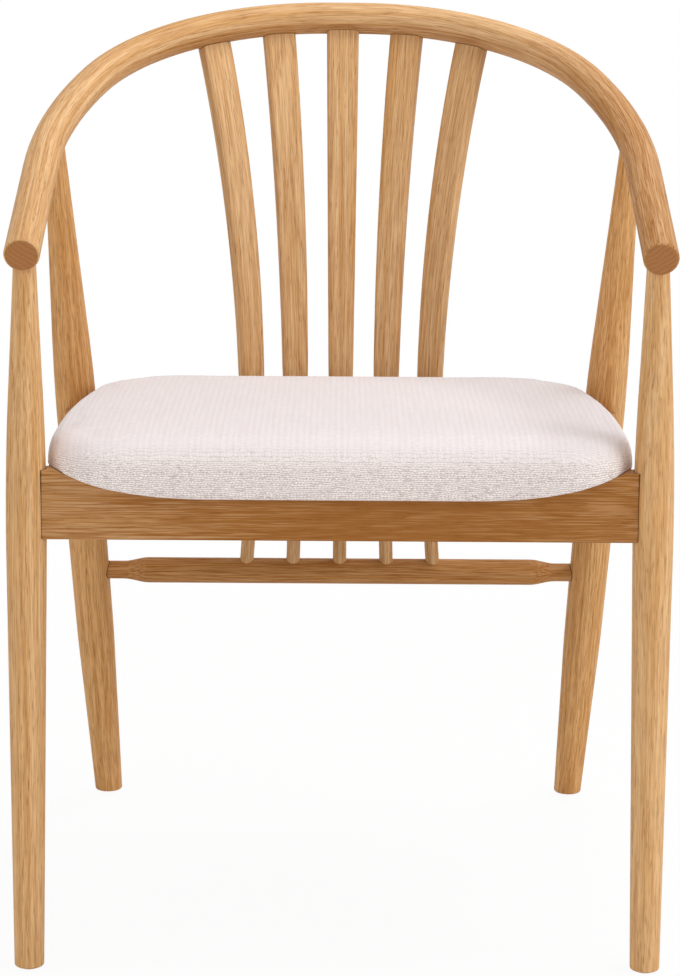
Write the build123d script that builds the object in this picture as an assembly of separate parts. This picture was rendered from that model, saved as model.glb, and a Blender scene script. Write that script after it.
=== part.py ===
from build123d import *
import os
from math import asin, atan2, cos, radians, sin, sqrt, tan

# Dining armchair in oak with an upholstered seat, in millimetres.
# +X is to the right seen from the front, +Y to the back and +Z up.
# The origin lies on the floor under the middle of the chair.

# Bow: one bent rod that makes both arms and the top of the back.
bow_dia = 30.4
bow_tilt = 21.0  # degrees, the arms rise to the back
arm_half_span = 265.7  # centre line of the arms
arm_end_y = -278.74
arm_end_z = 630.6
arm_straight = 168.0
arm_bend_radius = 547.0
arm_bend_angle = 20.5
back_straight = 29.4
arm_end_round = 3.0
flat_reach = 12.7  # centre of the rod to the flat that takes the slats
flat_slope = 58.0  # degrees from straight down, towards the sitter
flat_runout = 6.0  # lets the flat fade out towards the arms

# Front legs
front_leg_setback = 25.7  # along the arm, from its end
front_foot_splay = 5.3  # feet stand wider than the arms
front_foot_y = -254.74
front_foot_dia = 25.6
front_belly_dia = 36.2  # where its two tapers meet
front_belly_z = 440.0
front_top_dia = 17.8

# Rear legs: raked back, and closer together at the floor
rear_leg_setback = 240.8
rear_foot_draw = 21.8  # feet stand closer than the arms
rear_foot_y = 269.66
rear_foot_dia = 27.5
rear_knee_dia = 37.2
rear_knee_z = 190.0
rear_belly_dia = 39.5
rear_belly_z = 470.0
rear_top_dia = 17.5

leg_swell_radius = 2500.0  # rounds the tapers into each other
leg_toe = 16.0  # turned length below the floor line, cut off level
foot_round = 2.0
leg_tenon_dia = 13.0
leg_tenon_rise = 7.5  # past the centre of the bow
leg_tenon_root = 30.0  # below the centre of the bow

# Foot glides
glide_dia = 17.0
glide_height = 1.5
glide_edge = 0.5
glide_stem_dia = 6.0
glide_stem = 14.0

# Seat line: the dished level that the rails, board and pad share
seat_z = 424.0
seat_ear_z = 447.0
seat_flat_half = 112.0
seat_ear = 24.5  # level part beside the dish, from the front leg's axis

# Rails of the seat frame
front_rail_bottom = 387.0
front_rail_thick = 22.0
rail_edge_round = 2.0
side_rail_bottom = 396.0
side_rail_thick = 20.0
side_rail_inset = 28.5  # its middle at the front, from the front leg's axis
side_lap = 2.0  # into the front rail before it is cut to fit
rear_rail_bottom = 388.0
rear_rail_thick = 22.0

# Dowels of the rail joints
dowel_dia = 8.0
dowel_length = 30.0
dowel_end_gap = 1.0
cross_dowel_rise = 13.0  # above the bottom of the front and rear rails
cross_dowel_drop = 22.0  # below the seat line
side_dowel_rise = 16.5  # above the bottom of the side rails
side_dowel_drop = 9.5  # below the seat line
glue_gap = 0.1  # round a dowel, tenon or stem

# Rear stretcher, turned
stretcher_z = 266.7
stretcher_dia = 25.5
stretcher_neck_dia = 18.0
stretcher_neck = 14.0  # in view beside the leg
stretcher_swell = 26.0  # from the neck to the full diameter
stretcher_tenon_past = 6.0  # past the axis of the leg

# Back slats
slat_count = 5
slat_pitch_top = 63.0
slat_pitch_low = 47.0
slat_bend_radius = 860.0
slat_low_dia = 13.3
slat_low_corner = 6.4
slat_low_end = 0.13  # share of the length that stays round
slat_waist = 0.4  # share of the length where the swell ends
slat_waist_width = 24.6
slat_waist_thick = 15.0
slat_top_width = 31.8
slat_top_thick = 16.0
slat_corner = 4.4
slat_spans = 12  # steps of the loft
slat_head_setback = 6.0  # behind the centre of the bow
slat_tenon_dia = 10.0
slat_tenon_rise = 3.5
slat_tenon_root = 16.0
slat_foot_tenon_dia = 9.0
slat_foot_tenon_drop = 6.0

# Seat pad
pad_front_y = -282.74
pad_rear_y = 107.26
pad_leg_gap = 13.0  # its front corners, from the front leg's axis
pad_side_draw = 5.8  # in from the front corners, at the bend of the sides
pad_side_y = -84.77
pad_rear_draw = 31.5  # in from the front corners, at the back
pad_front_corner = 81.0
pad_side_radius = 1400.0
pad_rear_corner = 71.0
pad_corner_fade = 220.0  # inset at which the corners would turn sharp
pad_side_fade = 132.0  # the same for the full sides
pad_widest_z = 448.0
pad_shoulder_z = 472.0
pad_slope_z = 474.5
pad_crown_z = 477.5
pad_lower_inset = 9.0
pad_lower_lap = 2.0  # below the seat line before it is cut to it
pad_shoulder_inset = 16.0
pad_slope_inset = 31.0
pad_crown_inset = 110.0
pad_round_steps = 3
cover_thick = 1.5
board_thick = 10.0
board_inset = 20.0
dust_cover_thick = 1.0
dust_cover_margin = 3.0

# Blocks and screws under the seat
block_leg = 48.0
block_bottom = 404.0
block_lap = 3.0  # into the rails before it is cut to fit
seat_block_x = 140.0
seat_block_width = 50.0
seat_block_depth = 28.0
seat_block_screw_shift = 12.5  # the two screws stand either side of the middle
block_screw_dia = 4.0
block_screw_head_dia = 8.0
block_screw_head = 3.0
block_screw_bite = 14.0  # in the rail
block_screw_land = 12.0  # block wood under the head
block_screw_z = 418.0
block_screw_offset = 29.0  # from the corner of the block
seat_block_screw_z = 413.0
seat_screw_dia = 5.0
seat_screw_head_dia = 10.0
seat_screw_head = 3.5
seat_screw_bite = 8.0  # in the seat board
seat_screw_offset = 16.0  # from both rails at a front corner
seat_block_screw_from_front = 11.0

far = 600.0  # beyond the chair, for cutting solids

down = Vector(0, 0, -1)
up = Vector(0, 0, 1)


def rod(start, direction, length, dia):
    """A plain cylinder from a point along a direction."""
    place = Plane(origin=start, z_dir=direction)
    return place * Cylinder(dia / 2, length, align=(Align.CENTER, Align.CENTER, Align.MIN))


def mirrored(shape):
    return mirror(shape, about=Plane.YZ)


# Bow geometry in its own plane: x across, y along the arm from its end.
tilt = radians(bow_tilt)
bend = radians(arm_bend_angle)
back_radius = arm_bend_radius - (arm_bend_radius - arm_half_span + back_straight / 2) / cos(bend)
bend_end_x = arm_half_span - arm_bend_radius * (1 - cos(bend))
bend_end_y = arm_straight + arm_bend_radius * sin(bend)
back_centre_y = bend_end_y - back_radius * sin(bend)
back_y = back_centre_y + back_radius
bow_plane = Plane(
    origin=(0, arm_end_y, arm_end_z), x_dir=(1, 0, 0), z_dir=(0, -sin(tilt), cos(tilt))
)


def arm_point(along):
    """Centre of the bow on the right arm, at a distance along the arm."""
    past = max(along - arm_straight, 0)
    inward = arm_bend_radius - sqrt(arm_bend_radius**2 - past**2)
    return bow_plane.from_local_coords(Vector(arm_half_span - inward, along, 0))


def back_angle(x):
    """Turn of the bow, in radians, where it passes over a distance x from the middle."""
    reach = max(abs(x) - back_straight / 2, 0)
    return asin(reach / back_radius) * (1 if x > 0 else -1)


def back_point(x):
    """Centre of the bow over the back."""
    return bow_plane.from_local_coords(
        Vector(x, back_centre_y + back_radius * cos(back_angle(x)), 0)
    )


def make_bow_blank():
    arm = Line((arm_half_span, 0), (arm_half_span, arm_straight))
    gentle = TangentArc(arm @ 1, (bend_end_x, bend_end_y), tangent=arm % 1)
    crook = TangentArc(gentle @ 1, (back_straight / 2, back_y), tangent=gentle % 1)
    middle = Line(crook @ 1, (-back_straight / 2, back_y))
    half = arm + gentle + crook
    path = Wire((half + middle + mirrored(half)).edges())
    section = Plane(origin=arm @ 0, z_dir=arm % 0) * Circle(bow_dia / 2)
    blank = sweep(section, path=path)
    ends = blank.edges().filter_by(GeomType.CIRCLE).group_by(Axis.Y)[0]
    blank = fillet(ends, arm_end_round)
    return bow_plane * (blank - slat_flat())


def slat_flat():
    """Cone that planes the flat on the lower inner side of the bow, deepest in the middle."""
    slope = radians(flat_slope)
    ring_radius = back_radius - flat_runout
    cut = Rectangle(2 * bow_dia, bow_dia, align=(Align.CENTER, Align.MAX))
    inward = (-sin(slope) * flat_reach, -cos(slope) * flat_reach)
    profile = Pos(ring_radius + inward[0], inward[1]) * Rot(0, 0, -flat_slope) * cut
    ring = revolve(Plane.XZ * profile, Axis.Z)
    return Pos(0, back_centre_y + flat_runout, 0) * ring


# Leg axes
front_top = arm_point(front_leg_setback)
front_foot = Vector(arm_half_span + front_foot_splay, front_foot_y, 0)
rear_top = arm_point(rear_leg_setback)
rear_foot = Vector(arm_half_span - rear_foot_draw, rear_foot_y, 0)


def on_axis(foot, top, z):
    """Point of a leg's axis at a height."""
    return foot + (top - foot) * (z / top.Z)


def leg_blank(foot, top, foot_dia, swells, top_dia, bow):
    """A turned leg, cut level at the foot and coped under the bow, with its round tenon.

    Its straight tapers meet at the swells, each a height and a diameter.
    """
    axis = top - foot
    toe = (foot_dia / 2, -leg_toe)
    head = (top_dia / 2, axis.length)
    bellies = [(dia / 2, axis.length * z / top.Z) for z, dia in swells]
    side = FilletPolyline(toe, *bellies, head, radius=leg_swell_radius)
    rest = Polyline(head, (0, axis.length), (0, -leg_toe), toe)
    place = Plane(origin=foot, x_dir=(0, 1, 0), z_dir=axis)
    turned = place * revolve(Plane.XZ * make_face(side + rest), Axis.Z)
    leg = split(turned, bisect_by=Plane((0, 0, glide_height)), keep=Keep.TOP)
    leg = fillet(leg.edges().group_by(Axis.Z)[0], foot_round) - bow
    root = top - axis.normalized() * leg_tenon_root
    leg += rod(root, axis, leg_tenon_root + leg_tenon_rise, leg_tenon_dia)
    return leg - glide_bore(foot, top)


def glide_seat(foot, top):
    return on_axis(foot, top, glide_height)


def glide_bore(foot, top):
    return rod(
        glide_seat(foot, top), up, glide_stem + dowel_end_gap, glide_stem_dia + 2 * glue_gap
    )


def glide(foot, top):
    """Plastic glide: a disc under the foot, on a stem pressed into the leg."""
    seat = glide_seat(foot, top)
    disc = rod(seat, down, glide_height, glide_dia)
    disc = chamfer(disc.edges().group_by(Axis.Z)[0], glide_edge)
    return disc + rod(seat, up, glide_stem, glide_stem_dia)


def tenon_bore(foot, top):
    """Socket in the bow for a leg's tenon."""
    axis = (top - foot).normalized()
    return rod(
        top - axis * leg_tenon_root,
        axis,
        leg_tenon_root + leg_tenon_rise + dowel_end_gap,
        leg_tenon_dia + 2 * glue_gap,
    )


front_rail_z = (front_rail_bottom + seat_ear_z) / 2
front_joint = on_axis(front_foot, front_top, front_rail_z)
seat_dish_half = front_joint.X - seat_ear


def below_seat(rise=0.0):
    """Everything under the seat line, raised by a distance."""
    flat = Line((-seat_flat_half, seat_z + rise), (seat_flat_half, seat_z + rise))
    dish = TangentArc(flat @ 1, (seat_dish_half, seat_ear_z + rise), tangent=(1, 0))
    dish_left = mirror(dish, about=Plane.YZ)
    rest = Polyline(
        (seat_dish_half, seat_ear_z + rise),
        (far, seat_ear_z + rise),
        (far, -far),
        (-far, -far),
        (-far, seat_ear_z + rise),
        (-seat_dish_half, seat_ear_z + rise),
    )
    profile = Plane.XZ.offset(-far) * make_face(flat + dish + dish_left + rest)
    return extrude(profile, 2 * far)


def seat_line_z(x):
    """Height of the seat line at a distance from the middle."""
    run = min(max(abs(x) - seat_flat_half, 0), seat_dish_half - seat_flat_half)
    width = seat_dish_half - seat_flat_half
    height = seat_ear_z - seat_z
    radius = (width**2 + height**2) / (2 * height)
    return seat_z + radius - sqrt(radius**2 - run**2)


under_seat = below_seat()

# Front rail, coped between the front legs
front_rail_back_y = front_foot_y + front_rail_thick / 2


def make_front_rail(legs):
    bar = Pos(0, front_foot_y, front_rail_z) * Box(
        2 * front_joint.X, front_rail_thick, seat_ear_z - front_rail_bottom
    )
    bar = fillet(bar.edges().filter_by(Axis.X).group_by(Axis.Z)[0], rail_edge_round)
    return (bar & under_seat) - legs


# Rear rail, turned with the rake of the rear legs and bevelled to the seat line
rake = atan2(rear_foot.Y - rear_top.Y, rear_top.Z)
rear_joint = on_axis(rear_foot, rear_top, rear_rail_bottom)
rear_rail_plane = Plane(
    origin=(0, rear_joint.Y, rear_rail_bottom), x_dir=(1, 0, 0), z_dir=(0, -sin(rake), cos(rake))
)


def make_rear_rail(legs):
    bar = Box(
        2 * rear_joint.X,
        rear_rail_thick,
        2 * (seat_ear_z - rear_rail_bottom),
        align=(Align.CENTER, Align.CENTER, Align.MIN),
    )
    bar = fillet(bar.edges().filter_by(Axis.X).group_by(Axis.Z)[0], rail_edge_round)
    return (rear_rail_plane * bar & under_seat) - legs


def rear_rail_front_y(z):
    """Front face of the rear rail at a height."""
    centre = rear_joint.Y - (z - rear_rail_bottom) * tan(rake)
    return centre - rear_rail_thick / 2 / cos(rake)


# Side rails, from the back of the front rail to the rear legs
side_mid_z = (side_rail_bottom + seat_ear_z) / 2
side_front = Vector(front_joint.X - side_rail_inset, front_rail_back_y, side_rail_bottom)
side_rear = on_axis(rear_foot, rear_top, side_mid_z)
side_run = Vector(side_rear.X - side_front.X, side_rear.Y - side_front.Y, 0)
side_dir = side_run.normalized()


def make_side_rail(front_rail, rear_leg):
    place = Plane(origin=side_front - side_dir * side_lap, x_dir=side_dir, z_dir=up)
    bar = Box(
        side_run.length + side_lap,
        side_rail_thick,
        seat_ear_z - side_rail_bottom,
        align=(Align.MIN, Align.CENTER, Align.MIN),
    )
    bar = fillet(bar.edges().filter_by(Axis.X).group_by(Axis.Z)[0], rail_edge_round)
    return (place * bar & under_seat) - front_rail - rear_leg


def side_inner_x(y):
    """Inner face of the right side rail at a place along the chair."""
    centre = side_front.X + (y - side_front.Y) * side_dir.X / side_dir.Y
    return centre - side_rail_thick / 2 / side_dir.Y


def dowel_places():
    """Middle and direction of each dowel on the right side of the chair."""
    places = []
    right = Vector(1, 0, 0)
    upper = seat_line_z(front_joint.X - front_belly_dia / 2) - cross_dowel_drop
    for z in (front_rail_bottom + cross_dowel_rise, upper):
        front = on_axis(front_foot, front_top, z)
        places.append((front - right * (front_belly_dia / 2), right))
    upper = seat_line_z(rear_joint.X - rear_belly_dia / 2) - cross_dowel_drop
    for z in (rear_rail_bottom + cross_dowel_rise, upper):
        rear = on_axis(rear_foot, rear_top, z)
        places.append((rear - right * (rear_belly_dia / 2), right))
    upper = seat_line_z(side_front.X) - side_dowel_drop
    for z in (side_rail_bottom + side_dowel_rise, upper):
        places.append((Vector(side_front.X, side_front.Y, z), side_dir))
        axis = on_axis(rear_foot, rear_top, z)
        run = (axis.Y - side_front.Y) / side_dir.Y - rear_belly_dia / 2 / cos(rake)
        meet = side_front + side_dir * run
        places.append((Vector(meet.X, meet.Y, z), side_dir))
    return places


def dowel(middle, direction, extra_length=0.0, extra_dia=0.0):
    length = dowel_length + 2 * extra_length
    return rod(middle - direction * (length / 2), direction, length, dowel_dia + 2 * extra_dia)


# Rear stretcher between the rear legs
stretcher_end = on_axis(rear_foot, rear_top, stretcher_z)


def make_stretcher_blank():
    half_length = stretcher_end.X + stretcher_tenon_past
    neck_from = stretcher_end.X - rear_belly_dia / 2 - stretcher_neck
    full_to = neck_from - stretcher_swell
    full = stretcher_dia / 2
    neck = stretcher_neck_dia / 2
    swell = Spline((full_to, full), (neck_from, neck), tangents=[(1, 0), (1, 0)])
    body = Line((0, full), swell @ 0)
    rest = Polyline(swell @ 1, (half_length, neck), (half_length, 0), (0, 0), (0, full))
    half = revolve(make_face(body + swell + rest), Axis.X)
    return Pos(0, stretcher_end.Y, stretcher_z) * (half + mirrored(half))


def stretcher_bore():
    """Socket for the stretcher's end in the right rear leg."""
    inside = rear_belly_dia
    start = Vector(stretcher_end.X - inside, stretcher_end.Y, stretcher_z)
    length = inside + stretcher_tenon_past + dowel_end_gap
    return rod(start, Vector(1, 0, 0), length, stretcher_neck_dia + 2 * glue_gap)


class SlatCurve:
    """Centre line of one slat: an arc from the stretcher to the bow, bent towards the sitter."""

    def __init__(self, number):
        step = number - (slat_count - 1) / 2
        self.low = Vector(step * slat_pitch_low, stretcher_end.Y, stretcher_z)
        turn = back_angle(step * slat_pitch_top)
        inward = Vector(-sin(turn), -cos(turn), 0)
        self.top = back_point(step * slat_pitch_top) - inward * slat_head_setback
        chord = self.top - self.low
        self.along = chord.normalized()
        self.bulge = (inward - self.along * inward.dot(self.along)).normalized()
        self.half_angle = asin(chord.length / 2 / slat_bend_radius)
        middle = (self.low + self.top) / 2
        self.centre = middle - self.bulge * (slat_bend_radius * cos(self.half_angle))

    def plane(self, share):
        """Cross plane at a share of the length from the bottom, x across the slat."""
        angle = (2 * share - 1) * self.half_angle
        outward = self.bulge * cos(angle) + self.along * sin(angle)
        tangent = self.along * cos(angle) - self.bulge * sin(angle)
        origin = self.centre + outward * slat_bend_radius
        return Plane(origin=origin, x_dir=tangent.cross(outward), z_dir=tangent)


def slat_size(share, low, waist, top):
    """A slat's size at a share of its length: even foot, smooth swell, even taper to the top."""
    swell = min(max((share - slat_low_end) / (slat_waist - slat_low_end), 0), 1)
    above = max((share - slat_waist) / (1 - slat_waist), 0)
    return low + (waist - low) * swell**2 * (3 - 2 * swell) + (top - waist) * above


def make_slat(curve, bow, stretcher):
    """A slat swelling from a round foot to a flat head, coped at both ends, with two tenons."""
    sections = []
    for span in range(slat_spans + 1):
        share = span / slat_spans
        width = slat_size(share, slat_low_dia, slat_waist_width, slat_top_width)
        thick = slat_size(share, slat_low_dia, slat_waist_thick, slat_top_thick)
        corner = slat_size(share, slat_low_corner, slat_corner, slat_corner)
        sections.append(curve.plane(share) * RectangleRounded(width, thick, corner))
    slat = loft(sections) - bow - stretcher
    return slat + slat_head_tenon(curve) + slat_foot_tenon(curve)


def slat_head_tenon(curve, gap=0.0, end_gap=0.0):
    head = curve.plane(1)
    start = head.origin - head.z_dir * slat_tenon_root
    length = slat_tenon_root + slat_tenon_rise + end_gap
    return rod(start, head.z_dir, length, slat_tenon_dia + 2 * gap)


def slat_foot_tenon(curve, gap=0.0, end_gap=0.0):
    base = curve.plane(0)
    start = base.origin + base.z_dir * slat_tenon_root
    length = slat_tenon_root + slat_foot_tenon_drop + end_gap
    return rod(start, base.z_dir * -1, length, slat_foot_tenon_dia + 2 * gap)


def pad_outline(inset):
    """Plan of the pad, drawn in by an inset: full sides that narrow to the back, round corners."""
    front = pad_front_y + inset
    rear = pad_rear_y - inset
    half = front_joint.X - pad_leg_gap - inset
    right = [(half, front), (half - pad_side_draw, pad_side_y), (half - pad_rear_draw, rear)]
    left = [(-x, y) for x, y in reversed(right)]
    corner_share = 1 - inset / pad_corner_fade
    side_share = 1 - inset / pad_side_fade
    radii = [
        pad_front_corner * corner_share,
        pad_side_radius * side_share,
        pad_rear_corner * corner_share,
    ]
    return make_face(FilletPolyline(*right, *left, radius=radii + radii[::-1], close=True))


def pad_form(inset):
    """The cushion: drawn in at the bottom, fullest at the side, crowned on top."""
    low_z = seat_z - pad_lower_lap
    stations = [(pad_crown_inset, pad_crown_z), (pad_slope_inset, pad_slope_z)]
    for step in range(pad_round_steps + 1):
        angle = radians(90) * step / pad_round_steps
        drawn_in = pad_shoulder_inset * (1 - sin(angle))
        stations.append((drawn_in, pad_widest_z + (pad_shoulder_z - pad_widest_z) * cos(angle)))
    for step in range(1, pad_round_steps + 1):
        angle = radians(90) * step / pad_round_steps
        drawn_in = pad_lower_inset * (1 - cos(angle))
        stations.append((drawn_in, pad_widest_z - (pad_widest_z - low_z) * sin(angle)))
    sections = []
    for drawn_in, z in stations:
        lowered = inset * max(z - pad_widest_z, 0) / (pad_crown_z - pad_widest_z)
        sections.append(Pos(0, 0, z - lowered) * pad_outline(inset + drawn_in))
    return loft(sections, ruled=True)


def make_board():
    column = extrude(pad_outline(board_inset), far, dir=up)
    return column & (below_seat(board_thick) - under_seat)


def screw(tip, direction, length, dia, head_dia, head):
    """A pan-head screw: the direction points from the tip to the head."""
    seat = tip + direction * length
    return rod(tip, direction, length, dia) + rod(seat, direction, head, head_dia)


# Build the pieces, the right side first and the left side as its mirror image.
bow_blank = make_bow_blank()
stretcher_blank = make_stretcher_blank()
front_swells = [(front_belly_z, front_belly_dia)]
front_leg = leg_blank(
    front_foot, front_top, front_foot_dia, front_swells, front_top_dia, bow_blank
)
rear_swells = [(rear_knee_z, rear_knee_dia), (rear_belly_z, rear_belly_dia)]
rear_leg = leg_blank(rear_foot, rear_top, rear_foot_dia, rear_swells, rear_top_dia, bow_blank)
front_rail = make_front_rail([front_leg, mirrored(front_leg)])
rear_rail = make_rear_rail([rear_leg, mirrored(rear_leg)])
side_rail = make_side_rail(front_rail, rear_leg)

# Joints: dowels in the seat frame, and sockets for tenons and stretcher
dowels = [dowel(*place) for place in dowel_places()]
dowels += [mirrored(one) for one in dowels]
dowel_bores = [dowel(*place, dowel_end_gap, glue_gap) for place in dowel_places()]
all_bores = dowel_bores + [mirrored(one) for one in dowel_bores]
front_leg -= dowel_bores
rear_leg -= dowel_bores + [stretcher_bore()]
side_rail -= dowel_bores
front_rail -= all_bores
rear_rail -= all_bores

curves = [SlatCurve(number) for number in range(slat_count)]
slats = [make_slat(curve, bow_blank, stretcher_blank) for curve in curves]
right_bores = [tenon_bore(front_foot, front_top), tenon_bore(rear_foot, rear_top)]
bow = bow_blank - right_bores - [mirrored(one) for one in right_bores]
bow -= [slat_head_tenon(curve, glue_gap, dowel_end_gap) for curve in curves]
stretcher = stretcher_blank - [
    slat_foot_tenon(curve, glue_gap, dowel_end_gap) for curve in curves
]

# Seat pad: moulded board, foam round it and the cloth cover
board = make_board()
cushion = pad_form(0) - under_seat
filling = pad_form(cover_thick) - under_seat
cover = cushion - filling
foam = filling - board

# Blocks that tie the frame's corners and carry the seat screws
corner_x = side_inner_x(front_rail_back_y)
corner_y = front_rail_back_y
corner_plan = make_face(
    Polyline(
        (corner_x - block_leg, corner_y - block_lap),
        (corner_x + block_lap, corner_y - block_lap),
        (corner_x + block_lap, corner_y + block_leg),
        (corner_x, corner_y + block_leg),
        (corner_x - block_leg, corner_y),
        close=True,
    )
)
corner_block = extrude(Pos(0, 0, block_bottom) * corner_plan, seat_ear_z - block_bottom)
corner_block = (corner_block & under_seat) - front_rail - side_rail

block_back_y = rear_rail_front_y(block_bottom)
block_front_y = block_back_y - seat_block_depth
seat_block = Pos(seat_block_x, block_front_y, block_bottom) * Box(
    seat_block_width,
    seat_block_depth + block_lap,
    seat_ear_z - block_bottom,
    align=(Align.CENTER, Align.MIN, Align.MIN),
)
seat_block = (seat_block & under_seat) - rear_rail


def block_screws():
    """Tip and direction of the screws that hold the blocks on the right side to their rails."""
    head_way = block_screw_land + block_screw_bite
    front = Vector(corner_x - block_screw_offset, corner_y - block_screw_bite, block_screw_z)
    side_y = corner_y + block_screw_offset
    side = Vector(side_inner_x(side_y) + block_screw_bite, side_y, block_screw_z)
    rail_y = rear_rail_front_y(seat_block_screw_z)
    rear = Vector(
        seat_block_x - seat_block_screw_shift, rail_y + block_screw_bite, seat_block_screw_z
    )
    return [
        (front, Vector(0, 1, 0), head_way),
        (side, Vector(-1, 0, 0), head_way),
        (rear, Vector(0, -1, 0), head_way),
    ]


def seat_screws():
    """Tip and length of the screws that hold the seat on the right side."""
    front = (corner_x - seat_screw_offset, corner_y + seat_screw_offset)
    rear = (seat_block_x + seat_block_screw_shift, block_front_y + seat_block_screw_from_front)
    places = []
    for x, y in (front, rear):
        tip = Vector(x, y, seat_line_z(x) + seat_screw_bite)
        places.append((tip, tip.Z - block_bottom))
    return places


fixing_screws = []
fixing_bores = []
for tip, direction, length in block_screws():
    fixing_screws.append(
        screw(tip, direction, length, block_screw_dia, block_screw_head_dia, block_screw_head)
    )
    fixing_bores.append(rod(tip, direction, length, block_screw_dia))
    fixing_bores.append(
        rod(tip + direction * length, direction, block_leg, block_screw_head_dia + 2 * glue_gap)
    )
pad_screws = []
pad_bores = []
for tip, length in seat_screws():
    pad_screws.append(
        screw(tip, down, length, seat_screw_dia, seat_screw_head_dia, seat_screw_head)
    )
    pad_bores.append(rod(tip, down, length, seat_screw_dia))

corner_block -= fixing_bores + pad_bores
seat_block -= fixing_bores + pad_bores
front_rail -= fixing_bores + [mirrored(one) for one in fixing_bores]
rear_rail -= fixing_bores + [mirrored(one) for one in fixing_bores]
side_rail -= fixing_bores
board -= pad_bores + [mirrored(one) for one in pad_bores]

# Dust cover under the board, inside the frame and cut out round the blocks
dust_front = corner_y + dust_cover_margin
dust_rear = rear_rail_front_y(seat_ear_z) - dust_cover_margin
notch_y = block_front_y - dust_cover_margin
notch_x = seat_block_x + seat_block_width / 2 + dust_cover_margin
notch_inner_x = seat_block_x - seat_block_width / 2 - dust_cover_margin
dust_right = [
    (corner_x - block_leg - dust_cover_margin, dust_front),
    (corner_x - dust_cover_margin, corner_y + block_leg + dust_cover_margin),
    (side_inner_x(dust_rear) - dust_cover_margin, dust_rear),
    (notch_x, dust_rear),
    (notch_x, notch_y),
    (notch_inner_x, notch_y),
    (notch_inner_x, dust_rear),
]
dust_plan = make_face(Polyline(*dust_right, *[(-x, y) for x, y in reversed(dust_right)], close=True))
dust_plan &= pad_outline(board_inset + dust_cover_margin)
dust_column = extrude(dust_plan, far, dir=up)
dust_cover = dust_column & (under_seat - below_seat(-dust_cover_thick))

glides = [glide(front_foot, front_top), glide(rear_foot, rear_top)]
glides += [mirrored(one) for one in glides]

pieces = {
    "bow": bow,
    "front_leg_right": front_leg,
    "front_leg_left": mirrored(front_leg),
    "rear_leg_right": rear_leg,
    "rear_leg_left": mirrored(rear_leg),
    "front_rail": front_rail,
    "rear_rail": rear_rail,
    "side_rail_right": side_rail,
    "side_rail_left": mirrored(side_rail),
    "rear_stretcher": stretcher,
    "corner_block_right": corner_block,
    "corner_block_left": mirrored(corner_block),
    "seat_block_right": seat_block,
    "seat_block_left": mirrored(seat_block),
    "seat_board": board,
    "seat_foam": foam,
    "seat_cover": cover,
    "seat_dust_cover": dust_cover,
    "rail_dowels": Compound(children=dowels),
    "block_screws": Compound(children=fixing_screws + [mirrored(s) for s in fixing_screws]),
    "seat_screws": Compound(children=pad_screws + [mirrored(s) for s in pad_screws]),
    "foot_glides": Compound(children=glides),
}
for number, slat in enumerate(slats, start=1):
    pieces[f"back_slat_{number}"] = slat

os.makedirs("parts", exist_ok=True)
for name, piece in pieces.items():
    export_step(piece, f"parts/{name}.step")
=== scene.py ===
import math
import bpy
import bmesh
from mathutils import Vector, Matrix


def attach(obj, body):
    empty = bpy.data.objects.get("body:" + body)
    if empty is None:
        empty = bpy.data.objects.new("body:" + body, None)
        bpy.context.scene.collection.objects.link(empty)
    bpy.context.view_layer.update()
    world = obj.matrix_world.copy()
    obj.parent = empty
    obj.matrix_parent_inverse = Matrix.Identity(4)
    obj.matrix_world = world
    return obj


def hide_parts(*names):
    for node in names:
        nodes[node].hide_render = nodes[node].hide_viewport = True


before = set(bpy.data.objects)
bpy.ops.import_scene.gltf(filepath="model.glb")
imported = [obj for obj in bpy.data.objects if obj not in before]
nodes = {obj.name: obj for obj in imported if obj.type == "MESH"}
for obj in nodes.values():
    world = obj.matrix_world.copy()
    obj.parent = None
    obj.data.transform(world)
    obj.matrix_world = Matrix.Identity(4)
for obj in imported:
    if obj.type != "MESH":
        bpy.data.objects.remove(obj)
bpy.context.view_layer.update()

scene = bpy.context.scene
print("chair frame loaded:", len(nodes), "nodes")


def linear(red, green, blue):  # 0 to 255 on screen, to the light that Blender mixes
    return tuple((c / 255) ** 2.2 for c in (red, green, blue)) + (1.0,)


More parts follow.
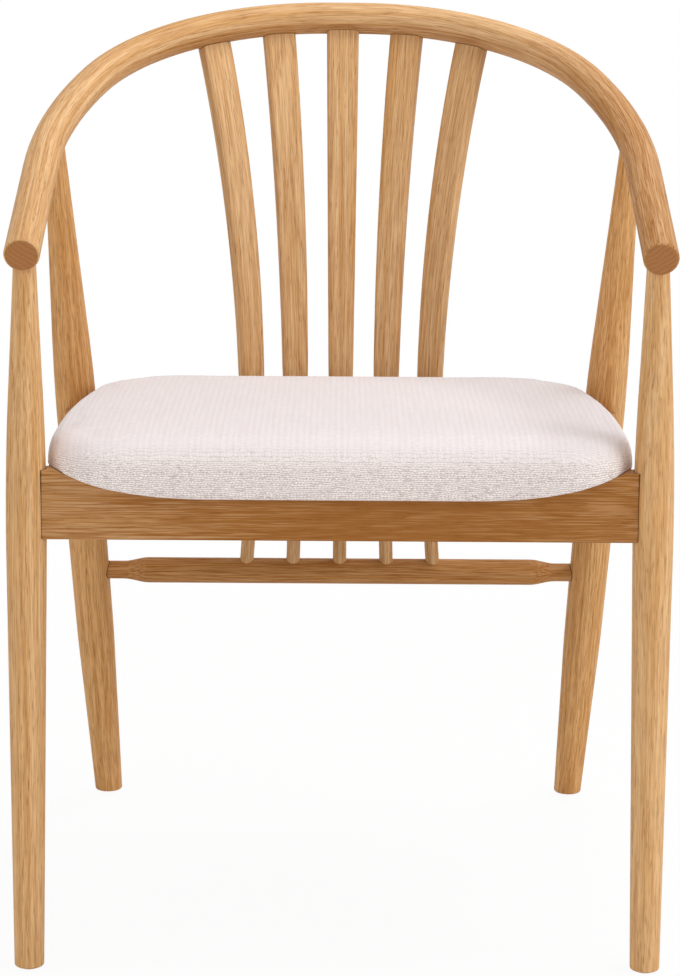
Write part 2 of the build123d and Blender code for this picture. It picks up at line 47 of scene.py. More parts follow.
class Flow:  # a shader socket that takes Python's operators
    def __init__(self, tree, socket=None):
        self.tree = tree
        self.socket = socket

    def add(self, kind, settings=None, sockets=None, out=0):
        made = self.tree.nodes.new(kind)
        for name, value in (settings or {}).items():
            setattr(made, name, value)
        for name, value in (sockets or {}).items():
            if isinstance(value, Flow):
                self.tree.links.new(value.socket, made.inputs[name])
            else:
                made.inputs[name].default_value = value
        return Flow(self.tree, made.outputs[out]) if len(made.outputs) else made

    def math(self, operation, first, second=0.0):
        return self.add("ShaderNodeMath", {"operation": operation}, {0: first, 1: second})

    def __add__(self, other):
        return self.math("ADD", self, other)

    def __radd__(self, other):
        return self.math("ADD", other, self)

    def __sub__(self, other):
        return self.math("SUBTRACT", self, other)

    def __rsub__(self, other):
        return self.math("SUBTRACT", other, self)

    def __mul__(self, other):
        return self.math("MULTIPLY", self, other)

    def __rmul__(self, other):
        return self.math("MULTIPLY", other, self)

    def __truediv__(self, other):
        return self.math("DIVIDE", self, other)

    def __abs__(self):
        return self.math("ABSOLUTE", self)

    def __gt__(self, other):
        return self.math("GREATER_THAN", self, other)

    def __lt__(self, other):
        return self.math("LESS_THAN", self, other)

    def dot(self, direction):
        return self.add("ShaderNodeVectorMath", {"operation": "DOT_PRODUCT"},
                        {0: self, 1: tuple(direction)}, out=1)

    def parts(self):  # x, y and z apart
        return [self.dot(axis) for axis in ((1, 0, 0), (0, 1, 0), (0, 0, 1))]

    def step(self, low, high):  # smooth rise from 0 to 1
        return self.add("ShaderNodeMapRange", {"interpolation_type": "SMOOTHSTEP"},
                        {"Value": self, "From Min": low, "From Max": high})

    def pack(self, x, y, z):
        return self.add("ShaderNodeCombineXYZ", None, {0: x, 1: y, 2: z})

    def noise(self, x, y, z, detail=2.0):
        return self.add("ShaderNodeTexNoise", None,
                        {"Vector": self.pack(x, y, z), "Scale": 1.0, "Detail": detail})

    def tint(self, first, second, amount, blend="MIX"):  # colours go through Mix
        return self.add("ShaderNodeMix", {"data_type": "RGBA", "blend_type": blend},
                        {0: amount, 6: first, 7: second}, out=2)


def newFinish(name):
    material = bpy.data.materials.new(name)
    material.use_nodes = True
    material.node_tree.nodes.clear()
    return material, Flow(material.node_tree)


def surface(root, sockets):
    shader = root.add("ShaderNodeBsdfPrincipled", None, sockets)
    root.add("ShaderNodeOutputMaterial", None, {"Surface": shader})


def bump(root, height, strength, distance):
    return root.add("ShaderNodeBump", None,
                    {"Strength": strength, "Distance": distance, "Height": height})


def place(root):  # position in the chair's own frame, millimetres
    coords = root.add("ShaderNodeTexCoord", out=3)
    return root.add("ShaderNodeVectorMath", {"operation": "SCALE"}, {0: coords, "Scale": 1000.0})


def facing(root):  # normal in the chair's own frame
    return root.add("ShaderNodeTexCoord", out=1)


def seenRays(root):  # 1 for rays that show a surface, 0 for rays that only light others
    path = root.add("ShaderNodeLightPath").socket.node
    camera, glossy, through = [Flow(root.tree, path.outputs[name]) for name in
                               ("Is Camera Ray", "Is Glossy Ray", "Is Transmission Ray")]
    return root.math("MAXIMUM", camera, root.math("MAXIMUM", glossy, through))


def shifted(point, origin):
    return point.add("ShaderNodeVectorMath", {"operation": "SUBTRACT"}, {0: point, 1: tuple(origin)})


# Measures of the chair that the grain follows, millimetres
# In the bow, the run and share at the end paint shade on the right arm. The flat edge and fade shape
# painted shade on the planed underside.
bow = dict(tilt=21.0, endY=-278.74, endZ=630.6, halfSpan=265.7, straight=168.0,
           bendRadius=547.0, bendAngle=20.5, backStraight=29.4, radius=15.2,
           flatSlope=58.0, flatReach=12.7, flatRunout=6.0, flatFade=(120.0, 210.0),
           flatEdge=(0.815, 0.85), paintedShade=(150.0, 400.0), paintedShadeShare=0.4)
legs = dict(frontFoot=(271.0, -254.74, 0.0), frontTop=(265.7, -254.75, 639.8),
            rearFoot=(243.9, 269.66, 0.0), rearTop=(260.83, -53.93, 716.9),
            railFront=(239.0, -243.7, 420.0), railBack=(254.0, 74.3, 420.0))
# the front rail's darker run and its paler right end are painted shadow of the seat pad
rails = dict(front=(0, -254.74, 409), rear=(0, 85.0, 412), stretcher=(0, 149.28, 266.7),
             paintedShade=(-230.0, 0.0), paintedShadeShare=0.36, shadowFade=(40.0, 260.0), shadowFadeShare=0.18)
fan = dict(count=5, pitchTop=63.0, pitchLow=47.0, bendRadius=860.0,
           lowY=149.28, lowZ=266.7, setback=6.0)
seams = dict(frontLeg=17.2, rearLeg=18.9, leg=(0.2, 1.4), bow=(0.2, 1.0))  # leg radii, then reach
cutFaces = dict(straight=(0.82, 0.95), slat=(0.9, 0.97), bow=(0.75, 0.92), bowReach=2.5)

bow["rise"] = Vector((0, math.cos(math.radians(bow["tilt"])), math.sin(math.radians(bow["tilt"]))))
bow["out"] = Vector((0, -bow["rise"].z, bow["rise"].y))
bow["bend"] = math.radians(bow["bendAngle"])
bow["backRadius"] = bow["bendRadius"] - (
    bow["bendRadius"] - bow["halfSpan"] + bow["backStraight"] / 2) / math.cos(bow["bend"])
bow["bendEndY"] = bow["straight"] + bow["bendRadius"] * math.sin(bow["bend"])
bow["backCentreY"] = bow["bendEndY"] - bow["backRadius"] * math.sin(bow["bend"])


def straightGrain(start, end):  # grain along a straight piece, measured from its middle line
    along = (Vector(end) - Vector(start)).normalized()
    side = Vector((1, 0, 0)) if abs(along.z) > 0.5 else Vector((0, 0, 1))
    side = (side - along * along.dot(side)).normalized()
    third = along.cross(side)

    def grain(root):
        local = shifted(place(root), start)
        ends = abs(facing(root).dot(along)).step(*cutFaces["straight"])
        return local.dot(side), local.dot(third), local.dot(along), ends
    return grain


def slatGrain(number):  # grain bent with the slat's own arc
    step = number - (fan["count"] - 1) / 2
    low = Vector((step * fan["pitchLow"], fan["lowY"], fan["lowZ"]))
    reach = max(abs(step * fan["pitchTop"]) - bow["backStraight"] / 2, 0)
    turn = math.copysign(math.asin(reach / bow["backRadius"]), step) if step else 0.0
    backY = bow["backCentreY"] + bow["backRadius"] * math.cos(turn)
    inward = Vector((-math.sin(turn), -math.cos(turn), 0))
    top = Vector((step * fan["pitchTop"], bow["endY"], bow["endZ"])) + bow["rise"] * backY
    top -= inward * fan["setback"]
    chord = top - low
    along = chord.normalized()
    bulge = (inward - along * inward.dot(along)).normalized()
    half = math.asin(chord.length / 2 / fan["bendRadius"])
    centre = (low + top) / 2 - bulge * (fan["bendRadius"] * math.cos(half))
    side = along.cross(bulge)

    def grain(root):
        spoke = shifted(place(root), centre)
        outward = spoke.dot(bulge)
        upward = spoke.dot(along)
        radius = root.math("SQRT", outward * outward + upward * upward)
        turned = root.math("ARCTAN2", upward, outward) * fan["bendRadius"]
        ends = abs(facing(root).dot(along)).step(*cutFaces["slat"])
        return spoke.dot(side), radius - fan["bendRadius"], turned, ends
    return grain


def bowGrain(root):  # grain that follows the arms and the back round the bow, and painted shade on the planed flat under the back
    normal = facing(root)
    local = shifted(place(root), (0, bow["endY"], bow["endZ"]))
    x = local.dot((1, 0, 0))
    side = root.math("SIGN", x)
    x = abs(x)
    y = local.dot(bow["rise"])
    height = local.dot(bow["out"])
    gentleX = x - (bow["halfSpan"] - bow["bendRadius"])
    gentleY = y - bow["straight"]
    gentleReach = root.math("SQRT", gentleX * gentleX + gentleY * gentleY)
    gentleTurn = root.math("ARCTAN2", gentleY, gentleX)
    crookX = x - bow["backStraight"] / 2
    crookY = y - bow["backCentreY"]
    crookReach = root.math("SQRT", crookX * crookX + crookY * crookY)
    crookTurn = root.math("ARCTAN2", crookY, crookX)
    inBend = y > bow["straight"]
    inCrook = (gentleTurn > bow["bend"]) * inBend
    inMiddle = (crookX < 0.0) * inCrook
    gentleEnd = bow["straight"] + bow["bendRadius"] * bow["bend"]
    crookEnd = gentleEnd + bow["backRadius"] * (math.pi / 2 - bow["bend"])
    total = crookEnd + bow["backStraight"] / 2

    def pick(mask, yes, no):
        return no + mask * (yes - no)
    along = pick(inBend, gentleTurn * bow["bendRadius"] + bow["straight"], y)
    along = pick(inCrook, (crookTurn - bow["bend"]) * bow["backRadius"] + gentleEnd, along)
    along = pick(inMiddle, total - x, along)
    across = pick(inBend, gentleReach - bow["bendRadius"], x - bow["halfSpan"])
    across = pick(inCrook, crookReach - bow["backRadius"], across)
    across = pick(inMiddle, crookY - bow["backRadius"], across)
    ends = abs(normal.dot(bow["rise"])).step(*cutFaces["bow"]) * (y < cutFaces["bowReach"])
    faceOut = normal.dot((1, 0, 0)) * side * crookX + normal.dot(bow["rise"]) * crookY
    slope = math.radians(bow["flatSlope"])
    toFlat = faceOut / crookReach * -math.sin(slope) - normal.dot(bow["out"]) * math.cos(slope)
    # painted shade: the planed flat, which faces down, gets a darker band
    planedShade = toFlat.step(*bow["flatEdge"]) * inCrook * (1 - x.step(*bow["flatFade"]))
    return across, height, (total - along) * side, ends, planedShade


def bowSeam(root):  # thin dark line where a slat meets the bow
    across, height, *_ = bowGrain(root)
    local = shifted(place(root), (0, bow["endY"], bow["endZ"]))
    x = local.dot((1, 0, 0))
    y = local.dot(bow["rise"]) - bow["backCentreY"] - bow["flatRunout"]
    inside = root.math("SQRT", x * x + y * y) - (bow["backRadius"] - bow["flatRunout"])
    slope = math.radians(bow["flatSlope"])
    toRod = root.math("SQRT", across * across + height * height) - bow["radius"]
    toFlat = inside * -math.sin(slope) - height * math.cos(slope) - bow["flatReach"]
    return 1 - root.math("MAXIMUM", toRod, toFlat).step(*seams["bow"])


oak = dict(
    pale=linear(227, 189, 143), honey=linear(203, 155, 100), brown=linear(150, 97, 46),
    pore=linear(114, 67, 29), warm=(1.0, 0.9, 0.73, 1.0),
    cut=linear(167, 115, 72), cutDark=linear(130, 84, 49), seam=linear(62, 36, 17),
    seedSteps=(37.1, 11.7, 5.3), ringWidth=4.0, pith=48.0, driftLength=240.0,
    wander=2.4, wanderWidth=12.0, wanderLength=130.0, bandWidth=4.6, bandLength=300.0,
    fibreWidth=0.8, fibreLength=38.0, poreWidth=0.6, poreLength=12.0,
    lateRise=(0.2, 0.9), lateFall=(0.9, 1.0), bandEdge=(0.28, 0.74), fibreEdge=(0.34, 0.68),
    poreEdge=(0.58, 0.74), cutEdge=(0.4, 0.7), flatShadeShare=0.32, bandShare=0.9, lateShare=0.12,
    fibreShare=0.4, poreShare=0.46, cutRings=0.3, cutFibres=0.25, seamShare=0.8, specular=0.15,
)


def legSeam(foot, top, radius):  # thin dark line where a piece meets a leg on either side
    along = (Vector(top) - Vector(foot)).normalized()

    def mask(root):
        x, y, z = place(root).parts()
        fromFoot = shifted(root.pack(abs(x), y, z), foot)
        swept = root.add("ShaderNodeVectorMath", {"operation": "CROSS_PRODUCT"}, {0: fromFoot, 1: along})
        away = root.add("ShaderNodeVectorMath", {"operation": "LENGTH"}, {0: swept}, out=1)
        return 1 - (away - radius).step(*seams["leg"])
    return mask


def oakFinish(name, grain, seed, turn=0.0, depth=0.0, sway=14.0, seam=None, paintedShade=None, warm=0.0):
    material, root = newFinish(name)
    across, height, along, ends, *flatShade = grain(root)
    if paintedShade:  # painted shade: darker in one part of the length
        depth = paintedShade(along) + depth
    # painted shade on the bow's planed flat
    if flatShade:
        depth = flatShade[0] * oak["flatShadeShare"] + depth
    stepA, stepB, stepDrift = oak["seedSteps"]
    a = across + seed * stepA
    b = height + seed * stepB
    drift = root.noise(seed * stepDrift, 0.5, along / oak["driftLength"], detail=1.0)
    drift = (drift - 0.5) * (2 * sway)
    wander = root.noise(a / oak["wanderWidth"], b / oak["wanderWidth"], along / oak["wanderLength"])
    wander = (wander - 0.5) * (2 * oak["wander"])
    u = across - oak["pith"] * math.cos(turn) + drift * math.cos(turn)
    v = height - oak["pith"] * math.sin(turn) + drift * math.sin(turn)
    ring = root.math("FRACT", (root.math("SQRT", u * u + v * v) + wander) / oak["ringWidth"])
    late = ring.step(*oak["lateRise"]) * (1 - ring.step(*oak["lateFall"]))

    def streaks(width, length, detail):
        return root.noise(a / oak[width], b / oak[width], along / oak[length], detail)
    band = streaks("bandWidth", "bandLength", 2.0)
    fibres = streaks("fibreWidth", "fibreLength", 1.0)
    pores = streaks("poreWidth", "poreLength", 0.0).step(*oak["poreEdge"]) * (late * 0.6 + 0.4)
    tone = root.tint(oak["pale"], oak["honey"], band.step(*oak["bandEdge"]) * oak["bandShare"])
    dark = late * oak["lateShare"] + fibres.step(*oak["fibreEdge"]) * oak["fibreShare"] + depth
    tone = root.tint(tone, oak["brown"], dark)
    tone = root.tint(tone, oak["pore"], pores * oak["poreShare"])
    if warm:  # redder tone; on the rear legs and stretcher it also paints the richer colour of their shade
        tone = root.tint(tone, oak["warm"], warm, "MULTIPLY")
    rings = root.math("SINE", ring * (2 * math.pi)) * 0.5 + 0.5
    dark = rings * oak["cutRings"] + fibres.step(*oak["cutEdge"]) * oak["cutFibres"]
    tone = root.tint(tone, root.tint(oak["cut"], oak["cutDark"], dark), ends)
    if seam:
        tone = root.tint(tone, oak["seam"], seam(root) * oak["seamShare"])
    surface(root, {
        "Base Color": tone,
        "Roughness": 0.5 + pores * 0.2 + fibres * 0.08 + ends * 0.12,
        "Normal": bump(root, 1 - pores * 0.8 - fibres * 0.25, strength=0.25, distance=0.0003),
        "Specular IOR Level": oak["specular"],
    })
    return material


def bowRightArmShade(along):  # painted shade: darker towards the right arm, whose inner side faces away from the light
    return along.step(*bow["paintedShade"]) * bow["paintedShadeShare"]


def railPadShadow(along):  # painted shadow of the seat pad's front overhang: darkest in the middle of the front rail, lighter towards the right end
    darker = along.step(*rails["paintedShade"]) * rails["paintedShadeShare"]
    return darker - along.step(*rails["shadowFade"]) * rails["shadowFadeShare"]


def crosswise(at):  # grain of a piece that runs from side to side
    x, y, z = at
    return straightGrain(at, (x + 1, y, z))


def dress(name, material):
    piece = nodes[name]
    piece.data.materials.clear()
    piece.data.materials.append(material)


# Each piece's depth darkens its oak, partly as tone between boards and partly as painted shade. It is most
# on the front rail and stretcher under the seat, and grows on each slat further right, as it turns from
# the light.
dress("bow", oakFinish("oakBow", bowGrain, seed=1.0, turn=2.2, depth=0.05, sway=9.0, paintedShade=bowRightArmShade))
for side, sign in (("right", 1), ("left", -1)):
    points = {key: Vector((sign * x, y, z)) for key, (x, y, z) in legs.items()}
    front = straightGrain(points["frontFoot"], points["frontTop"])
    rear = straightGrain(points["rearFoot"], points["rearTop"])
    rail = straightGrain(points["railFront"], points["railBack"])
    dress("front_leg_" + side, oakFinish("oakFrontLeg" + side, front, seed=3.0 + sign,
                                         turn=0.9 + sign * 0.4, depth=-0.06 - sign * 0.03, warm=0.3))
    dress("rear_leg_" + side, oakFinish("oakRearLeg" + side, rear, seed=7.0 + sign,
                                        turn=0.3 - sign * 0.5, depth=0.04, warm=1.0))
    dress("side_rail_" + side, oakFinish("oakSideRail" + side, rail, seed=11.0 + sign,
                                         turn=1.2, depth=0.25))
seatSeam = legSeam(legs["frontFoot"], legs["frontTop"], seams["frontLeg"])
lowSeam = legSeam(legs["rearFoot"], legs["rearTop"], seams["rearLeg"])
dress("front_rail", oakFinish("oakFrontRail", crosswise(rails["front"]), seed=14.0, turn=1.4,
                              depth=0.46, sway=22.0, seam=seatSeam, paintedShade=railPadShadow))
dress("rear_rail", oakFinish("oakRearRail", crosswise(rails["rear"]), seed=17.0, turn=0.7, depth=0.3))
dress("rear_stretcher", oakFinish("oakStretcher", crosswise(rails["stretcher"]), seed=19.0, turn=0.4,
                                  depth=0.46, seam=lowSeam, warm=0.8))
for number in range(fan["count"]):
    dress(f"back_slat_{number + 1}",
          oakFinish(f"oakSlat{number + 1}", slatGrain(number), seed=23.0 + 2.3 * number,
                    turn=1.2 + 0.5 * number, depth=0.06 + 0.02 * number, sway=18.0, seam=bowSeam))
print("oak pieces finished")


# Plain wood, cloth, steel and plastic under the seat
hidden = dict(
    beech=linear(214, 172, 130), beechDark=linear(188, 140, 98),
    beechFibre=(60.0, 1.6), beechFleck=(3.5, 0.8),
    plyPale=linear(206, 172, 124), plyDark=linear(158, 118, 78),
    plyPair=3.4, plyStreak=(2.2, 190.0, 3.0),
    felt=linear(30, 29, 30), feltPale=linear(58, 56, 57), feltThread=(0.9, 4.0), feltDot=3.0,
    steel=linear(176, 176, 172), steelDark=linear(128, 126, 120), scratch=(0.4, 2.0),
    glide=linear(46, 40, 36), glidePale=linear(70, 62, 56), glideGrain=0.6,
)


def beechFinish(name, seed):
    material, root = newFinish(name)
    x, y, z = place(root).parts()
    length, width = hidden["beechFibre"]
    fibres = root.noise(x / length + seed, y / width, z / width)
    length, width = hidden["beechFleck"]
    flecks = root.noise(x / length + seed, y / width, z / width, detail=1.0)
    dark = fibres.step(0.35, 0.7) * 0.6 + flecks.step(0.6, 0.7) * 0.35
    surface(root, {"Base Color": root.tint(hidden["beech"], hidden["beechDark"], dark),
                   "Roughness": 0.62 + fibres * 0.1,
                   "Normal": bump(root, fibres, strength=0.3, distance=0.0003)})
    return material


def plywoodFinish():
    material, root = newFinish("plywood")
    x, y, z = place(root).parts()
    width, length, depth = hidden["plyStreak"]
    plies = root.math("SINE", z * (2 * math.pi / hidden["plyPair"])) > 0.0
    edge = 1 - abs(facing(root).dot((0, 0, 1))).step(0.6, 0.8)
    streaks = root.noise(x / width, y / length, z / depth)
    tone = root.tint(hidden["plyPale"], hidden["plyDark"], streaks.step(0.4, 0.7) * 0.5)
    tone = root.tint(tone, hidden["plyDark"], plies * edge * 0.8)
    surface(root, {"Base Color": tone, "Roughness": 0.6 + streaks * 0.1,
                   "Normal": bump(root, streaks, strength=0.2, distance=0.0003)})
    return material


def feltFinish():
    material, root = newFinish("dustCloth")
    x, y, _ = place(root).parts()
    width, length = hidden["feltThread"]
    wave = 2 * math.pi / hidden["feltDot"]
    threads = root.noise(x / width, y / length, 0.0) + root.noise(x / length, y / width, 5.0)
    dots = root.math("SINE", x * wave) * root.math("SINE", y * wave)
    tone = root.tint(hidden["felt"], hidden["feltPale"], (threads * 0.5).step(0.42, 0.62) * 0.7)
    tone = root.tint(tone, hidden["felt"], dots.step(0.3, 0.8) * 0.8)
    surface(root, {"Base Color": tone, "Roughness": 0.85,
                   "Normal": bump(root, threads - dots, strength=0.5, distance=0.0003)})
    return material


def steelFinish():
    material, root = newFinish("screwSteel")
    x, y, z = place(root).parts()
    width, length = hidden["scratch"]
    scratch = root.noise(x / width, y / width, z / length)
    surface(root, {"Base Color": root.tint(hidden["steel"], hidden["steelDark"], scratch.step(0.4, 0.7)),
                   "Metallic": 1.0, "Roughness": 0.3 + scratch * 0.2,
                   "Normal": bump(root, scratch, strength=0.15, distance=0.0001)})
    return material


def glideFinish():
    material, root = newFinish("glidePlastic")
    grain = root.noise(*[part / hidden["glideGrain"] for part in place(root).parts()])
    surface(root, {"Base Color": root.tint(hidden["glide"], hidden["glidePale"], grain.step(0.45, 0.7)),
                   "Roughness": 0.5 + grain * 0.15,
                   "Normal": bump(root, grain, strength=0.3, distance=0.0002)})
    return material


for name, seed in (("corner_block_right", 1.0), ("corner_block_left", 4.0), ("seat_block_right", 7.0),
                   ("seat_block_left", 9.0), ("rail_dowels", 12.0)):
    dress(name, beechFinish("beech" + str(int(seed)), seed))
dress("seat_board", plywoodFinish())
dress("seat_dust_cover", feltFinish())
screwSteel = steelFinish()
dress("block_screws", screwSteel)
dress("seat_screws", screwSteel)
dress("foot_glides", glideFinish())
print("hidden pieces finished")


# Seat pad: a foam form blown up as cloth over the dished frame
pad = dict(  # insets are from the side, the front and the rear, then a height
    corners=((251.2, -282.74), (251.2, -84.77), (225.0, 107.26)), radii=(59.0, 1400.0, 85.0),
    cornerFade=220.0, sideFade=132.0, smaller=-0.8,
    crown=(72.0, 150.0, 110.0, 478.0), shoulder=(10.0, 22.0, 15.0, 475.0), widest=448.0,
    under=(9.0, 9.0, 9.0, 422.0), steps=5, rearDrop=2.4, dropFrom=-60.0, dropRun=170.0,
    seatZ=424.0, earZ=447.0, flatHalf=112.0, dishHalf=243.05, lift=0.4, cornerSteps=8,
    voxel=5.0, even=2, pressure=4.0, mass=0.3, quality=5, frames=20, held=1.0,
    cap=1.6, rearCap=0.5, rearFrom=70.0, rearRun=30.0, fill=0.8,
)


def roundedLoop(corners, radii, steps):  # points round a polygon with its corners rounded
    loop = []
    for index, corner in enumerate(corners):
        before = (corners[index - 1] - corner).normalized()
        after = (corners[(index + 1) % len(corners)] - corner).normalized()
        half = before.angle(after) / 2
        centre = corner + (before + after).normalized() * (radii[index] / math.sin(half))
        start = corner + before * (radii[index] / math.tan(half)) - centre
        swing = math.pi - 2 * half
        for step in range(steps + 1):
            turn = swing * step / steps
            loop.append(centre + Matrix.Rotation(turn, 2) @ start)
    return loop


def padLoop(insets):
    side, front, rear = insets
    right = [Vector((x - side, y)) for x, y in pad["corners"]]
    right[0].y += front
    right[2].y -= rear
    left = [Vector((-v.x, v.y)) for v in reversed(right)]
    inset = sum(insets) / 3
    share = 1 - inset / pad["cornerFade"]
    frontCorner, middle, rearCorner = pad["radii"]
    radii = [frontCorner * share, middle * (1 - inset / pad["sideFade"]), rearCorner * share]
    return roundedLoop(right + left, radii + radii[::-1], pad["cornerSteps"])


def padStations():  # crown, shoulder and underside as insets with a height
    *crown, crownZ = pad["crown"]
    *shoulder, topZ = pad["shoulder"]
    *under, lowZ = pad["under"]
    for step in range(pad["steps"]):
        share = step / pad["steps"]
        insets = [c + (s - c) * share for c, s in zip(crown, shoulder)]
        yield insets, crownZ - (crownZ - topZ) * share ** 2
    for step in range(pad["steps"] + 1):
        turn = math.pi / 2 * step / pad["steps"]
        insets = [s * (1 - math.sin(turn)) for s in shoulder]
        yield insets, pad["widest"] + (topZ - pad["widest"]) * math.cos(turn)
    for step in range(1, pad["steps"] + 1):
        turn = math.pi / 2 * step / pad["steps"]
        insets = [u * (1 - math.cos(turn)) for u in under]
        yield insets, pad["widest"] - (pad["widest"] - lowZ) * math.sin(turn)


def seatLine(x):  # height of the dished frame
    run = min(max(abs(x) - pad["flatHalf"], 0), pad["dishHalf"] - pad["flatHalf"])
    width, rise = pad["dishHalf"] - pad["flatHalf"], pad["earZ"] - pad["seatZ"]
    radius = (width ** 2 + rise ** 2) / (2 * rise)
    return pad["seatZ"] + radius - math.sqrt(radius ** 2 - run ** 2)


def buildPad():
    form = bmesh.new()
    rings = []
    for insets, z in padStations():
        high = max(z - pad["widest"], 0) / (pad["crown"][3] - pad["widest"])
        ring = []
        for point in padLoop([inset + pad["smaller"] for inset in insets]):
            back = min(max((point.y - pad["dropFrom"]) / pad["dropRun"], 0), 1)
            drop = pad["rearDrop"] * back * high
            ring.append(form.verts.new((point.x / 1000, point.y / 1000, (z - drop) / 1000)))
        rings.append(ring)
    for upper, under in zip(rings, rings[1:]):
        for index in range(len(upper)):
            after = (index + 1) % len(upper)
            form.faces.new((upper[index], under[index], under[after], upper[after]))
    form.faces.new(rings[0])
    form.faces.new(rings[-1][::-1])
    bmesh.ops.triangulate(form, faces=[f for f in form.faces if len(f.verts) > 4])
    bmesh.ops.recalc_face_normals(form, faces=form.faces)
    mesh = bpy.data.meshes.new("seatPad")
    form.to_mesh(mesh)
    form.free()
    piece = bpy.data.objects.new("seatPad", mesh)
    scene.collection.objects.link(piece)
    remesh = piece.modifiers.new("evenMesh", "REMESH")
    remesh.mode = "VOXEL"
    remesh.voxel_size = pad["voxel"] / 1000
    even = piece.modifiers.new("evenSteps", "SMOOTH")
    even.iterations = pad["even"]
    settle(piece)
    for vertex in piece.data.vertices:  # the underside lies on the dished frame
        vertex.co.z = max(vertex.co.z, (seatLine(vertex.co.x * 1000) + pad["lift"]) / 1000)
    return piece


def settle(piece):  # keeps the shape that the modifiers give
    view = bpy.context.evaluated_depsgraph_get()
    old = piece.data
    piece.data = bpy.data.meshes.new_from_object(piece.evaluated_get(view))
    piece.modifiers.clear()
    bpy.data.meshes.remove(old)


def blowUp(piece):
    rest = [(v.co.copy(), v.normal.copy()) for v in piece.data.vertices]
    held = [v.index for v in piece.data.vertices
            if v.co.z * 1000 < seatLine(v.co.x * 1000) + pad["lift"] + pad["held"]]
    piece.vertex_groups.new(name="onFrame").add(held, 1.0, "REPLACE")
    cloth = piece.modifiers.new("padCloth", "CLOTH")
    cloth.settings.quality = pad["quality"]
    cloth.settings.mass = pad["mass"]
    cloth.settings.use_pressure = True
    cloth.settings.uniform_pressure_force = pad["pressure"]
    cloth.settings.vertex_group_mass = "onFrame"
    cloth.settings.effector_weights.gravity = 0.0
    cloth.collision_settings.use_collision = False
    cloth.point_cache.frame_start = 1
    cloth.point_cache.frame_end = pad["frames"]
    for number in range(1, pad["frames"] + 1):
        scene.frame_set(number)
    view = bpy.context.evaluated_depsgraph_get()
    blown = [v.co.copy() for v in piece.evaluated_get(view).data.vertices]
    piece.modifiers.remove(cloth)
    scene.frame_set(1)
    for vertex, (start, outward), end in zip(piece.data.vertices, rest, blown):
        rear = min(max((start.y * 1000 - pad["rearFrom"]) / pad["rearRun"], 0), 1)
        cap = (pad["cap"] * (1 - rear) + pad["rearCap"] * rear) / 1000
        vertex.co = start + outward * min(max((end - start).dot(outward), 0), cap)  # swells, never shrinks
        vertex.co.z = max(vertex.co.z, (seatLine(vertex.co.x * 1000) + pad["lift"]) / 1000)


weave = dict(  # a pair of shares is that on the sides, then what the top loses of it
    row=1.85, stitch=2.9, rib=5.4, ribLength=70.0,
    # the sides' brighter cloth colour is painted light
    pale=linear(226, 221, 224), paintedSideLight=linear(252, 244, 241), warm=linear(216, 207, 209),
    gap=linear(118, 97, 86), speck=linear(192, 175, 168),
    wobbleSize=9.0, wobble=3.4, fuzzSize=1.9, fuzz=1.9, driftSize=60.0,
    upEdge=(0.02, 0.84), foreEdge=(0.55, 0.8), ribEdge=(0.25, 0.75),
    speckEdge=(0.75, 1.0), gapEdge=(0.08, 0.5),
    warmShare=(0.5, 0.3), speckShare=(0.36, 0.28), gapShare=(0.74, 0.62), driftShare=0.2, ribShare=0.4,
)


def weaveFinish():
    material, root = newFinish("padWeave")
    normal = facing(root)
    x, y, z = place(root).parts()

    def cloud(size, detail):
        return root.noise(x / size, y / size, z / size, detail)
    wobble = (cloud(weave["wobbleSize"], 2.0) - 0.5) * weave["wobble"]
    fuzz = (cloud(weave["fuzzSize"], 1.0) - 0.5) * weave["fuzz"]
    drift = cloud(weave["driftSize"], 2.0)

    def stitches(u, v):  # short thick threads in staggered rows: height and own shade
        v = (v + wobble + fuzz) / weave["row"]
        row = root.math("FLOOR", v)
        slip = root.add("ShaderNodeTexWhiteNoise", {"noise_dimensions": "1D"}, {"W": row})
        u = (u - wobble + fuzz) / weave["stitch"] + slip
        cell = root.pack(root.math("FLOOR", u), row, 0.0)
        high = abs(root.math("SINE", v * math.pi)) * (abs(root.math("SINE", u * math.pi)) * 0.6 + 0.4)
        shade = root.add("ShaderNodeTexWhiteNoise", {"noise_dimensions": "2D"}, {"Vector": cell})
        return high * (shade * 0.5 + 0.6), shade
    top, topShade = stitches(x, y)
    front, frontShade = stitches(x, z)
    flank, flankShade = stitches(y, z)
    up = normal.dot((0, 0, 1)).step(*weave["upEdge"])
    fore = abs(normal.dot((0, 1, 0))).step(*weave["foreEdge"])
    high = flank + fore * (front - flank)
    high = high + up * (top - high)
    shade = flankShade + fore * (frontShade - flankShade)
    shade = shade + up * (topShade - shade)
    ribs = root.math("SINE", (x + wobble * 0.4) * (2 * math.pi / weave["rib"])) * 0.2
    ribs = root.noise(x / weave["rib"] * 2, y / weave["ribLength"], 3.0, detail=1.0) + ribs
    ribs = ribs.step(*weave["ribEdge"]) * up * weave["ribShare"]

    def share(name):
        sides, loss = weave[name]
        return sides - up * loss
    # Painted light and shade: the sides start from a brighter colour than the top. Their stitch gaps get a
    # stronger painted shade than the top's, a little weaker on the flanks than on the front.
    gaps = (1 - high.step(*weave["gapEdge"])) * (shade * 0.3 + 0.64) * (fore * 0.16 + 0.84)
    tone = root.tint(weave["paintedSideLight"], weave["pale"], up)
    tone = root.tint(tone, weave["warm"], shade * share("warmShare") + drift * weave["driftShare"] + ribs)
    tone = root.tint(tone, weave["speck"], shade.step(*weave["speckEdge"]) * share("speckShare"))
    tone = root.tint(tone, weave["gap"], gaps * share("gapShare"))
    surface(root, {"Base Color": tone, "Roughness": 0.95 - high * 0.08,
                   "Normal": bump(root, high, strength=0.35, distance=0.0006),
                   "Specular IOR Level": 0.1, "Sheen Weight": 0.08, "Sheen Roughness": 0.6})
    return material


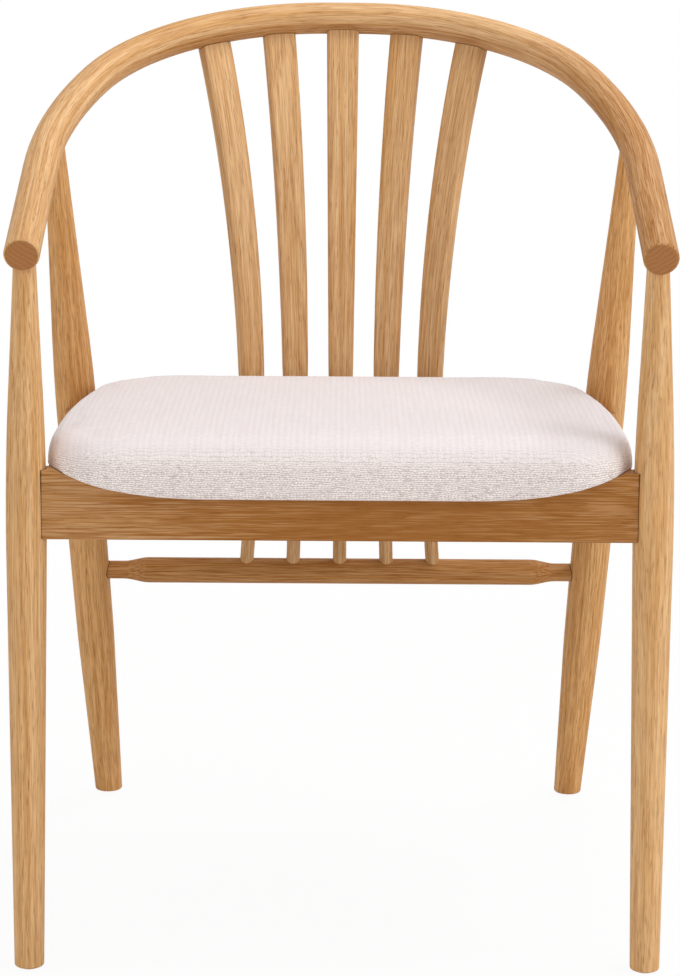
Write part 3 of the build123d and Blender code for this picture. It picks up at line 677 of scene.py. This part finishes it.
seatPad = buildPad()
blowUp(seatPad)
finer = seatPad.modifiers.new("finer", "SUBSURF")
finer.levels = 1
finer.render_levels = 1
settle(seatPad)
seatPad.data.polygons.foreach_set("use_smooth", [True] * len(seatPad.data.polygons))
seatPad.data.materials.append(weaveFinish())
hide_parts("seat_cover", "seat_foam")
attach(seatPad, "root")
print("seat pad made:", len(seatPad.data.vertices), "points")


# White studio
studio = dict(floorSize=14.0, drop=0.0003, floor=(0.86, 0.86, 0.86, 1.0), shadowShare=0.06,
              fadeFrom=0.7, fadeTo=2.0, sky=0.58, skyTint=(1.0, 0.955, 0.905, 1.0), white=(1, 1, 1, 1))
lamps = (
    dict(name="overhead", at=(0.7, 0.0, 3.0), aim=(0.0, -0.05, 0.5), size=1.4, watts=41.0),
    dict(name="rightFill", at=(3.0, -1.4, 1.4), aim=(0.0, 0.0, 0.5), size=1.6, watts=36.0),
    dict(name="frontFill", at=(-2.0, -2.8, 1.3), aim=(0.0, 0.0, 0.5), size=2.4, watts=24.0),
)


def floorFinish():  # white to the eye, with a weak shadow near the chair
    material, root = newFinish("studioFloor")
    point = root.add("ShaderNodeTexCoord", out=3)
    away = root.add("ShaderNodeVectorMath", {"operation": "LENGTH"}, {0: point}, out=1)
    shadow = studio["shadowShare"] * (1 - away.step(studio["fadeFrom"], studio["fadeTo"]))
    matte = root.add("ShaderNodeBsdfDiffuse", None, {"Color": studio["floor"]})
    glow = root.add("ShaderNodeEmission", None, {"Color": studio["white"], "Strength": 1.0})
    both = root.add("ShaderNodeMixShader", None, {0: seenRays(root) * (1 - shadow), 1: matte, 2: glow})
    root.add("ShaderNodeOutputMaterial", None, {"Surface": both})
    return material


floorMesh = bpy.data.meshes.new("studioFloor")
half = studio["floorSize"] / 2
floorEdge = [(x * half, y * half, -studio["drop"]) for x, y in ((-1, -1), (1, -1), (1, 1), (-1, 1))]
floorMesh.from_pydata(floorEdge, [], [(0, 1, 2, 3)])
floor = bpy.data.objects.new("studioFloor", floorMesh)
scene.collection.objects.link(floor)
floor.data.materials.append(floorFinish())

world = bpy.data.worlds.new("studioWorld")
scene.world = world
world.use_nodes = True
world.node_tree.nodes.clear()
sky = Flow(world.node_tree)
seen = seenRays(sky)
backdrop = sky.add("ShaderNodeBackground", None, {
    "Color": sky.tint(studio["skyTint"], studio["white"], seen),
    "Strength": seen * (1 - studio["sky"]) + studio["sky"]})
sky.add("ShaderNodeOutputWorld", None, {"Surface": backdrop})

for lamp in lamps:
    data = bpy.data.lights.new(lamp["name"], "AREA")
    data.size = lamp["size"]
    data.energy = lamp["watts"]
    light = bpy.data.objects.new(lamp["name"], data)
    light.location = lamp["at"]
    light.rotation_euler = (Vector(lamp["aim"]) - Vector(lamp["at"])).to_track_quat("-Z", "Y").to_euler()
    scene.collection.objects.link(light)

photoView = dict(at=(0.0, -2.59474, 0.893), pitch=11.16, roll=0.37, lens=103.28, long=36.0)
camera = bpy.data.objects.new("photoView", bpy.data.cameras.new("photoView"))
camera.data.sensor_fit = "AUTO"
camera.data.sensor_width = photoView["long"]
camera.data.lens = photoView["lens"]
camera.location = photoView["at"]
pitch = Matrix.Rotation(math.radians(90 - photoView["pitch"]), 3, "X")
camera.rotation_euler = (pitch @ Matrix.Rotation(math.radians(photoView["roll"]), 3, "Z")).to_euler()
scene.collection.objects.link(camera)
scene.camera = camera
scene.view_settings.view_transform = "Standard"
print("studio and camera set")

bpy.context.view_layer.update()
